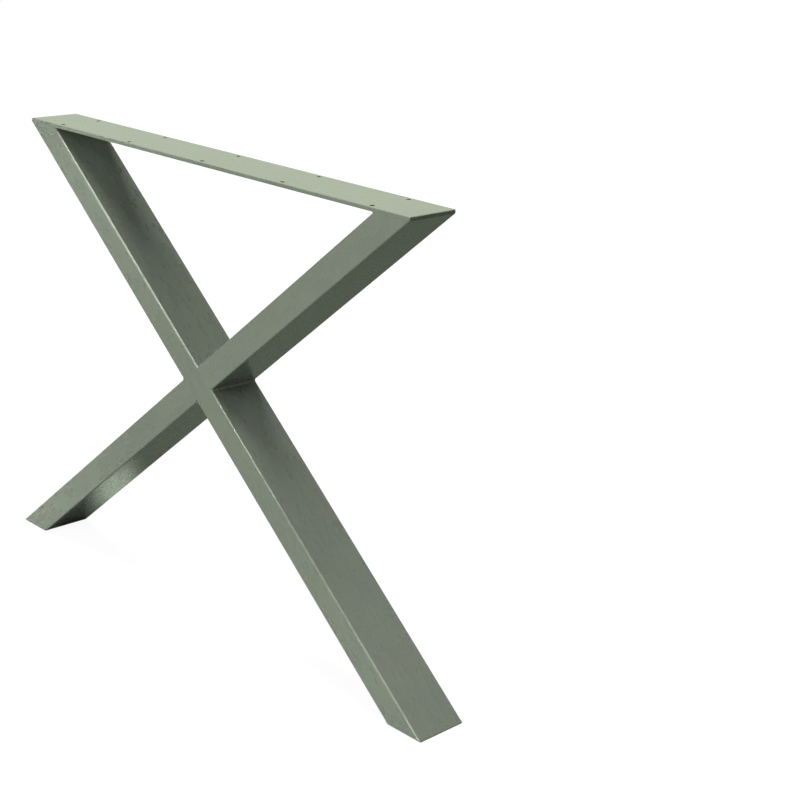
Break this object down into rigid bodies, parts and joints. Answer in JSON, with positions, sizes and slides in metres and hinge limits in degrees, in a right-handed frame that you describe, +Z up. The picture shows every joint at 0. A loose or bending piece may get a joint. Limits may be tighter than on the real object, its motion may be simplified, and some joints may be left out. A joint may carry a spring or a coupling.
{
  "type": "x shaped table leg",
  "caption": "Welded steel table leg: crossing box-section tubes form an X under a flat top plate drilled with two rows of screw holes, with closed flat feet.",
  "frame": {"origin": "on the floor, midway between the two feet and midway through the tubes' depth", "axes": "+X along the leg's width, +Y through the tubes' depth, +Z up towards the table top"},
  "size_m": [0.935, 0.08, 0.68],
  "materials": {
    "sage_coating": "satin grey-green coating on steel"
  },
  "bodies": {
    "root": {"through_tube": "sage_coating", "upper_half_tube": "sage_coating", "lower_half_tube": "sage_coating", "top_plate": "sage_coating", "left_foot_plate": "sage_coating", "right_foot_plate": "sage_coating", "upper_crossing_weld": "sage_coating", "lower_crossing_weld": "sage_coating", "left_crossing_weld": "sage_coating", "right_crossing_weld": "sage_coating", "left_plate_weld": "sage_coating", "right_plate_weld": "sage_coating", "upper_front_seam_weld": "sage_coating", "upper_rear_seam_weld": "sage_coating", "lower_front_seam_weld": "sage_coating", "lower_rear_seam_weld": "sage_coating"}
  },
  "joints": []
}
